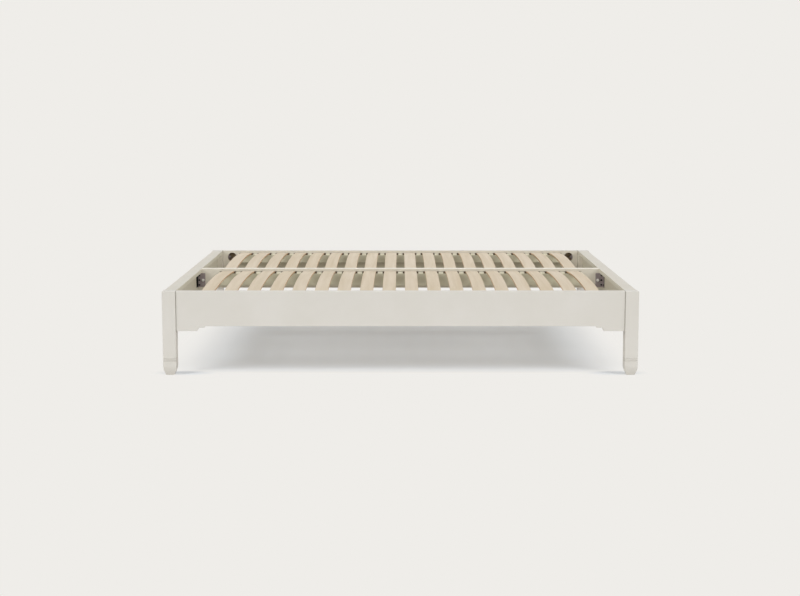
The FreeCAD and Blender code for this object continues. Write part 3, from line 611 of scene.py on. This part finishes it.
def makePlatedSteel(name, light, dark, stain, roughness):
    # zinc plating with its faint spangle and turning marks
    material, tree, shader, place = newMaterial(name)
    spangle = addNode(tree, "ShaderNodeTexVoronoi",
                      {"Vector": place, "Scale": plated["spangleScale"]}).outputs["Distance"]
    streak = noiseOf(tree, place, **plated["streak"])["Fac"]
    fine = noiseOf(tree, place, **plated["fine"])["Fac"]
    colour = mixColour(tree, remap(tree, spangle, *plated["spangled"]), light, dark)
    colour = mixColour(tree, remap(tree, streak, *plated["stained"]), colour, stain)
    ends = [roughness + change for change in plated["roughnessSpread"]]
    finishShader(tree, shader, colour, remap(tree, streak, *noiseRange, *ends), fine,
                 plated["bump"], {"Metallic": 1.0})
    return material


bracket = {
    "colour": fromSrgb(140, 129, 129),
    "worn": fromSrgb(172, 164, 160),
    "roughness": 0.5,
    # painted shade: the colour and widths of the black strips at the brackets' outer ends
    "black": fromSrgb(9, 7, 6),
    "shadowStripWidths": (0.0065, 0.0030),  # how wide on the left bracket and on the right one
}


def shadowStripMask(tree, place):
    # painted shade: a black strip along the outer end of each bracket, where it meets its end rail
    along = axesOf(tree, place)["X"]
    wide, narrow = bracket["shadowStripWidths"]
    return math2(tree, "MAXIMUM", below(tree, along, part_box("beam_bracket_left")[0].x + wide),
                 above(tree, along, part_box("beam_bracket_right")[1].x - narrow))


# metals: the colours that each finish goes between, and its roughness
steel = {
    "screwBlack": (fromSrgb(13, 11, 10), fromSrgb(42, 38, 36), 0.45),
    # painted shade: this zinc is darker than plain plating, standing in for the shade in the bolt
    # pockets where its nuts, washers and studs sit
    "shadedPlatedSteel": (fromSrgb(156, 146, 148), fromSrgb(122, 114, 115), fromSrgb(110, 98, 88),
                    0.40),
    # painted highlight: this zinc is nearly white, standing in for the glint on the coach screw
    # heads
    "highlitSteel": (fromSrgb(250, 249, 248), fromSrgb(238, 238, 238), fromSrgb(214, 210, 204),
                    0.32),
}
holderPlastic = makeHolderPlastic()
screwBlack = makeCoatedSteel("screwBlack", *steel["screwBlack"])
shadedPlatedSteel = makePlatedSteel("shadedPlatedSteel", *steel["shadedPlatedSteel"])
highlitSteel = makePlatedSteel("highlitSteel", *steel["highlitSteel"])
# which finish each node wears; the first start of a name that fits counts
finishes = [
    ("post_", makePaint("postPaint", "z", layers=[(insideShadeMask, "beam"), (grooveShadeMask, "creviceShade")])),
    ("side_rail", makePaint("sideRailPaint", "x", layers=[
        (insideShadeMask, "beam"), (shadeUnderLedgerMask, "shadeUnderLedger"), (jointShadeMask, "creviceShade"),
        (pocketMask, "pocket")])),
    ("centre_beam", makePaint("beamPaint", "x", coat="beamTopHighlight", layers=[
        (insideShadeMask, "beam"), (seamMask, "creviceShade")])),
    ("ledger_", makePaint("ledgerPaint", "x", coat="ledger", layers=[(lipHighlightMask, "lip")])),
    ("end_cap", makePaint("capPaint", "y", coat="capTopShade", layers=[(insideShadeMask, "capEdge")])),
    ("end_rail", makePaint("endRailPaint", "y", layers=[(insideShadeMask, "inside")])),
    ("slat_holders", holderPlastic),
    ("slat_", makeSlatWood()),
    ("joint_dowels", makeDowelWood()),
    ("beam_bracket", makeCoatedSteel("bracketSteel", bracket["colour"], bracket["worn"],
                                     bracket["roughness"], layers=[(shadowStripMask, bracket["black"])])),
    ("bracket_screws", screwBlack),
    ("bracket_bolts", highlitSteel),
    ("", shadedPlatedSteel),
]
for name, piece in nodes.items():
    finish = next(material for start, material in finishes if name.startswith(start))
    piece.data.materials.clear()
    piece.data.materials.append(finish)
print("materials assigned")


# closer than this, in metres, two corners of a mesh are one
mergeDistance = 1e-6


def mergedCopy(name):
    # a CAD node's loose triangles joined up in a bmesh of their own
    mesh = bmesh.new()
    mesh.from_mesh(nodes[name].data)
    bmesh.ops.remove_doubles(mesh, verts=mesh.verts, dist=mergeDistance)
    return mesh


def looseBoxes(name):
    # the lowest and highest corner of each separate solid of a node, from left to right
    mesh = mergedCopy(name)
    waiting = set(mesh.verts)
    boxes = []
    while waiting:
        reached = [waiting.pop()]
        for vertex in reached:
            for edge in vertex.link_edges:
                other = edge.other_vert(vertex)
                if other in waiting:
                    waiting.remove(other)
                    reached.append(other)
        places = [vertex.co for vertex in reached]
        boxes.append((Vector(min(place[axis] for place in places) for axis in range(3)),
                      Vector(max(place[axis] for place in places) for axis in range(3))))
    mesh.free()
    return sorted(boxes, key=lambda box: box[0][:])


def finishPiece(name, mesh, finish, slot, *replaced, smooth=30.0):
    # a bmesh in its final place becomes a piece that rides with the frame
    data = bpy.data.meshes.new(name)
    mesh.to_mesh(data)
    mesh.free()
    data.materials.append(finish)
    data.shade_smooth()
    data.set_sharp_from_angle(angle=math.radians(smooth))
    piece = bpy.data.objects.new(name, data)
    bpy.context.scene.collection.objects.link(piece)
    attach(piece, "root")
    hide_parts(*replaced)
    print("made", name, "with", len(data.polygons), "faces")


def turnedSolid(mesh, profile, steps):
    # a turned shape about Z from a profile of (radius, height) pairs
    points = [mesh.verts.new((radius, 0.0, height)) for radius, height in profile]
    edges = [mesh.edges.new(pair) for pair in zip(points, points[1:])]
    bmesh.ops.spin(mesh, geom=points + edges, cent=(0, 0, 0), axis=(0, 0, 1),
                   angle=math.tau, steps=steps, use_merge=True)
    bmesh.ops.remove_doubles(mesh, verts=mesh.verts, dist=mergeDistance)
    bmesh.ops.recalc_face_normals(mesh, faces=mesh.faces)


def placeCopies(single, places):
    # the same small mesh at each of the matrices
    data = bpy.data.meshes.new("single")
    single.to_mesh(data)
    single.free()
    mesh = bmesh.new()
    for place in places:
        before = set(mesh.verts)
        mesh.from_mesh(data)
        added = [vertex for vertex in mesh.verts if vertex not in before]
        bmesh.ops.transform(mesh, matrix=place, verts=added)
    bpy.data.meshes.remove(data)
    return mesh


def facing(direction, place):
    # a matrix that points a shape's Z along the direction, with its origin at the place
    return Matrix.Translation(place) @ direction.to_track_quat("Z", "Y").to_matrix().to_4x4()


def newVerts(geometry):
    return [item for item in geometry if isinstance(item, bmesh.types.BMVert)]


screw = {
    "headRadius": 0.0045,
    "headHeight": 0.0022,
    "headProfile": ((0.72, 0.90), (0.92, 0.62), (1.0, 0.25), (1.0, 0.0)),  # shares of the two above
    "shankRadius": 0.0023,
    "coreRadius": 0.0018,
    "plainLength": 0.004,
    "flare": 1.15,
    "threadPitch": 0.0020,
    "crestAt": 0.30,
    "rootAt": 0.60,
    "tipLength": 0.0035,
    "recessRadius": 0.0019,
    "recessRim": 0.0003,
    "recessDepth": 0.0012,
    "starWaist": 0.62,
    "sides": 18,
}


def screwProfile(length):
    # from the rim of the recess over the head and down a coarse wood thread to the tip
    head, top, pitch = screw["headRadius"], screw["headHeight"], screw["threadPitch"]
    profile = [(screw["recessRadius"], top)]
    profile += [(head * across, top * up) for across, up in screw["headProfile"]]
    profile.append((screw["shankRadius"], 0.0))
    level = -screw["plainLength"]
    profile.append((screw["coreRadius"] * screw["flare"], level))
    while level > screw["tipLength"] - length:
        profile.append((screw["shankRadius"], level - pitch * screw["crestAt"]))
        profile.append((screw["coreRadius"], level - pitch * screw["rootAt"]))
        level -= pitch
        profile.append((screw["coreRadius"], level))
    return profile + [(0.0, -length)]


def screwPlaces(boxes):
    # a matrix for each screw, from where its head meets the steel and the way that it looks
    places = []
    for low, high in boxes:
        middle, size = (low + high) / 2, high - low
        if size.y > size.x:  # into the front of the beam
            at = Vector((middle.x, low.y + screw["headHeight"], middle.z))
            places.append(facing(Vector((0, -1, 0)), at))
        elif middle.x > 0:  # into the right end rail
            at = Vector((low.x + screw["headHeight"], middle.y, middle.z))
            places.append(facing(Vector((-1, 0, 0)), at))
        else:  # into the left end rail
            at = Vector((high.x - screw["headHeight"], middle.y, middle.z))
            places.append(facing(Vector((1, 0, 0)), at))
    return places


def makeScrews():
    # pan heads with a star recess
    boxes = looseBoxes("bracket_screws")
    single = bmesh.new()
    length = max(boxes[0][1] - boxes[0][0]) - screw["headHeight"]
    turnedSolid(single, screwProfile(length), screw["sides"])
    rim = [edge for edge in single.edges if edge.is_boundary]
    lid = bmesh.ops.contextual_create(single, geom=rim)["faces"]
    bmesh.ops.inset_region(single, faces=lid, thickness=screw["recessRim"], use_even_offset=True)
    lid = [face for face in single.faces if len(face.verts) == screw["sides"]]
    for vertex in list(lid[0].verts)[::3]:  # every third corner drawn in makes a six-pointed star
        vertex.co.x *= screw["starWaist"]
        vertex.co.y *= screw["starWaist"]
    sunk = bmesh.ops.extrude_discrete_faces(single, faces=lid)["faces"]
    bmesh.ops.translate(single, verts=sunk[0].verts, vec=(0, 0, -screw["recessDepth"]))
    bmesh.ops.recalc_face_normals(single, faces=single.faces)
    mesh = placeCopies(single, screwPlaces(boxes))
    finishPiece("bracketScrews", mesh, screwBlack, "screw_black", "bracket_screws")


stud = {
    "radius": 0.004,
    "depth": 0.0006,
    "pitch": 0.00125,
    "turns": 17,
    "stepsPerTurn": 10,
    "sides": 12,
    "chamfer": 0.0006,
    "tipShare": 0.8,
}


def makeStuds():
    # a lobed ring wound upwards makes the thread; above it the stud is plain
    boxes = looseBoxes("bed_bolts")
    length = boxes[0][1].x - boxes[0][0].x
    single = bmesh.new()
    ring = bmesh.ops.create_circle(single, segments=stud["sides"], radius=stud["radius"])["verts"]
    for vertex in ring:
        turn = math.atan2(vertex.co.y, vertex.co.x)
        vertex.co *= 1 - stud["depth"] / stud["radius"] * (1 - math.cos(turn)) / 2
        vertex.co.z = stud["chamfer"]
    rim = list(single.edges)
    tip = bmesh.ops.extrude_edge_only(single, edges=rim)["geom"]
    bmesh.ops.scale(single, verts=newVerts(tip), vec=(stud["tipShare"], stud["tipShare"], 0.0))
    wound = bmesh.ops.spin(single, geom=ring + rim, cent=(0, 0, 0), axis=(0, 0, 1),
                           dvec=(0, 0, stud["pitch"] / stud["stepsPerTurn"]),
                           angle=math.tau * stud["turns"],
                           steps=stud["turns"] * stud["stepsPerTurn"])["geom_last"]
    for level in (stud["chamfer"], None):  # a short run out of the thread, then up to the end
        edges = [item for item in wound if isinstance(item, bmesh.types.BMEdge)]
        wound = bmesh.ops.extrude_edge_only(single, edges=edges)["geom"]
        for vertex in newVerts(wound):
            flat = Vector((vertex.co.x, vertex.co.y, 0.0)).normalized() * stud["radius"]
            vertex.co = flat + Vector((0, 0, vertex.co.z + level if level else length))
    bmesh.ops.holes_fill(single, edges=[edge for edge in single.edges if edge.is_boundary], sides=0)
    bmesh.ops.recalc_face_normals(single, faces=single.faces)
    places = []
    for low, high in boxes:
        outwards = Vector((math.copysign(1, low.x), 0, 0))
        tipX = min((low.x, high.x), key=abs)
        places.append(facing(outwards, Vector((tipX, (low.y + high.y) / 2, (low.z + high.z) / 2))))
    mesh = placeCopies(single, places)
    finishPiece("bedBoltStuds", mesh, shadedPlatedSteel, "plated_steel", "bed_bolts")


# the node that each softened piece stands for, the width of its broken edges, finish and slot
softened = {
    "slatHolders": ("slat_holders", 0.0005, holderPlastic, "holder_plastic"),
    "bedNuts": ("bed_nuts", 0.0005, shadedPlatedSteel, "plated_steel"),
    "crescentWashers": ("crescent_washers", 0.0005, shadedPlatedSteel, "plated_steel"),
    "coachScrews": ("bracket_bolts", 0.0006, highlitSteel, "plated_steel"),
}
# in degrees: edges flatter than the first go, sharper than the second are broken, and softer
# than the third look smooth
softening = {"flat": 2.0, "sharp": 35.0, "smooth": 25.0}


def softenedCopy(name, node, width, finish, slot):
    # the node's own solids with their sharp edges broken
    mesh = mergedCopy(node)
    bmesh.ops.dissolve_limit(mesh, angle_limit=math.radians(softening["flat"]), verts=mesh.verts,
                             edges=mesh.edges)
    sharp = [edge for edge in mesh.edges if edge.is_manifold
             and edge.calc_face_angle() > math.radians(softening["sharp"])]
    bmesh.ops.bevel(mesh, geom=sharp, offset=width, offset_type="OFFSET", segments=1, profile=0.5,
                    affect="EDGES", material=-1, clamp_overlap=True)
    finishPiece(name, mesh, finish, slot, node, smooth=softening["smooth"])


makeScrews()
makeStuds()
for name, row in softened.items():
    softenedCopy(name, *row)
print("hardware made")


studio = {
    "background": fromSrgb(239, 237, 233),
    "paper": (0.838, 0.878, 0.924, 1.0),
    "floorBounce": 0.85,
    "skyStrength": 0.26,
    "floorSize": 400.0,
    "shadowShare": 0.84,
    # axis, where a fade starts and ends from the edge of the bed, and what it leaves
    "shadowFades": (("X", -0.265, 0.055, 0.0), ("Y", -0.450, -0.340, 0.89),
                    ("Y", -0.200, -0.030, 0.0)),
    "footShadow": {"from": (0.095, 0.065), "squeeze": 2.2, "size": (0.03, 0.17), "share": 0.90},
    # name: elevation, azimuth from the front, softness in degrees, strength
    "lamps": {
        "softboxLeft": (33.0, -45.0, 18.0, 0.72),
        "softboxRight": (33.0, 45.0, 18.0, 0.72),
        "wingLeft": (31.0, -62.0, 16.0, 0.35),
        "wingRight": (31.0, 62.0, 16.0, 0.35),
        "fillLeft": (8.0, -45.0, 30.0, 0.37),
        "fillRight": (8.0, 45.0, 30.0, 0.37),
        "overhead": (90.0, 0.0, 60.0, 0.77),
        "rear": (45.0, 180.0, 60.0, 0.35),
    },
}


def seenDirectly(tree):
    # 1 where the camera, a mirror or clear glass looks at a surface, 0 where light bounces off it
    path = tree.nodes.new("ShaderNodeLightPath").outputs
    seen = math2(tree, "MAXIMUM", path["Is Camera Ray"], path["Is Glossy Ray"])
    return math2(tree, "MAXIMUM", seen, path["Is Transmission Ray"])


def shadowReach(tree, place):
    # how much of the shadow the paper keeps: most under the bed, less near its front and its
    # ends, and a spot round each foot
    high = cadBounds[1]
    axes = axesOf(tree, place)
    away = {axis: fromMiddle(tree, axes[axis]) for axis in "XY"}
    under = studio["shadowShare"]
    for axis, near, far, left in studio["shadowFades"]:
        edge = high["XY".index(axis)]
        under = times(tree, under, remap(tree, away[axis], edge + near, edge + far, 1.0, left,
                                         "SMOOTHSTEP"))
    spot = studio["footShadow"]
    footX, footY = high.x - spot["from"][0], high.y - spot["from"][1]
    distance = lengthOf(tree, x=minus(tree, away["X"], footX),
                        y=times(tree, minus(tree, away["Y"], footY), spot["squeeze"]))
    foot = remap(tree, distance, *spot["size"], spot["share"], 0.0, "SMOOTHSTEP")
    return math2(tree, "MAXIMUM", under, foot)


def makeFloorPaper():
    # away from the bed the paper glows softly in the colour of the backdrop, as over a light table
    material, tree, shader, place = newMaterial("floorPaper")
    backdrop = studio["background"]
    dimmed = studio["floorBounce"] / max(backdrop[:3])
    bounced = tuple(channel * dimmed for channel in backdrop[:3]) + (1.0,)
    seen = seenDirectly(tree)
    tree.links.new(mixColour(tree, seen, bounced, studio["paper"]), shader.inputs["Base Color"])
    shader.inputs["Roughness"].default_value = 1.0
    shader.inputs["Specular IOR Level"].default_value = 0.0
    glow = addNode(tree, "ShaderNodeEmission", {"Color": backdrop, "Strength": 1.0})
    glowing = times(tree, seen, minus(tree, 1.0, shadowReach(tree, place)))
    mix = addNode(tree, "ShaderNodeMixShader",
                  {0: glowing, 1: shader.outputs[0], 2: glow.outputs[0]})
    output = next(node for node in tree.nodes if node.type == "OUTPUT_MATERIAL")
    tree.links.new(mix.outputs[0], output.inputs["Surface"])
    return material


def makeFloor():
    sheet = bmesh.new()
    bmesh.ops.create_grid(sheet, x_segments=1, y_segments=1, size=studio["floorSize"])
    mesh = bpy.data.meshes.new("studioFloor")
    sheet.to_mesh(mesh)
    sheet.free()
    floor = bpy.data.objects.new("studioFloor", mesh)
    bpy.context.scene.collection.objects.link(floor)
    mesh.materials.append(makeFloorPaper())


def makeSky():
    world = bpy.data.worlds.new("studioSky")
    bpy.context.scene.world = world
    world.use_nodes = True
    tree = world.node_tree
    tree.nodes.clear()
    output = tree.nodes.new("ShaderNodeOutputWorld")
    lit = addNode(tree, "ShaderNodeBackground", {"Color": (1.0, 1.0, 1.0, 1.0),
                                                 "Strength": studio["skyStrength"]})
    backdrop = addNode(tree, "ShaderNodeBackground", {"Color": studio["background"],
                                                      "Strength": 1.0})
    mix = addNode(tree, "ShaderNodeMixShader", {0: seenDirectly(tree), 1: lit.outputs[0],
                                                2: backdrop.outputs[0]})
    tree.links.new(mix.outputs[0], output.inputs["Surface"])


def makeLamps():
    for name, (elevation, azimuth, softness, strength) in studio["lamps"].items():
        data = bpy.data.lights.new(name, "SUN")
        data.energy = strength
        data.angle = math.radians(softness)
        lamp = bpy.data.objects.new(name, data)
        bpy.context.scene.collection.objects.link(lamp)
        lamp.rotation_euler = (math.radians(90 - elevation), 0.0, math.radians(azimuth))


# the photo's camera, in pixels, degrees, and metres from the bed's front and top; sensor in mm
view = {
    "focalPixels": 1524.0,
    "frameWidth": 800.0,
    "sensor": 36.0,
    "pitch": 7.42,
    "behindFront": 6.740,
    "aboveTop": 0.848,
    "bedTop": 0.380,
    "sideways": -0.002,
    "clipEnd": 1000.0,
}


def makeCamera():
    data = bpy.data.cameras.new("productView")
    data.sensor_width = view["sensor"]
    data.lens = view["focalPixels"] / view["frameWidth"] * view["sensor"]
    data.clip_end = view["clipEnd"]
    camera = bpy.data.objects.new("productView", data)
    bpy.context.scene.collection.objects.link(camera)
    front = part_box("post_front_left")[0].y
    camera.location = Vector((view["sideways"], front - view["behindFront"],
                              view["bedTop"] + view["aboveTop"]))
    camera.rotation_euler = (math.radians(90 - view["pitch"]), 0.0, 0.0)
    bpy.context.scene.camera = camera


makeFloor()
makeSky()
makeLamps()
makeCamera()
bpy.context.scene.view_settings.view_transform = "Standard"
print("studio ready")
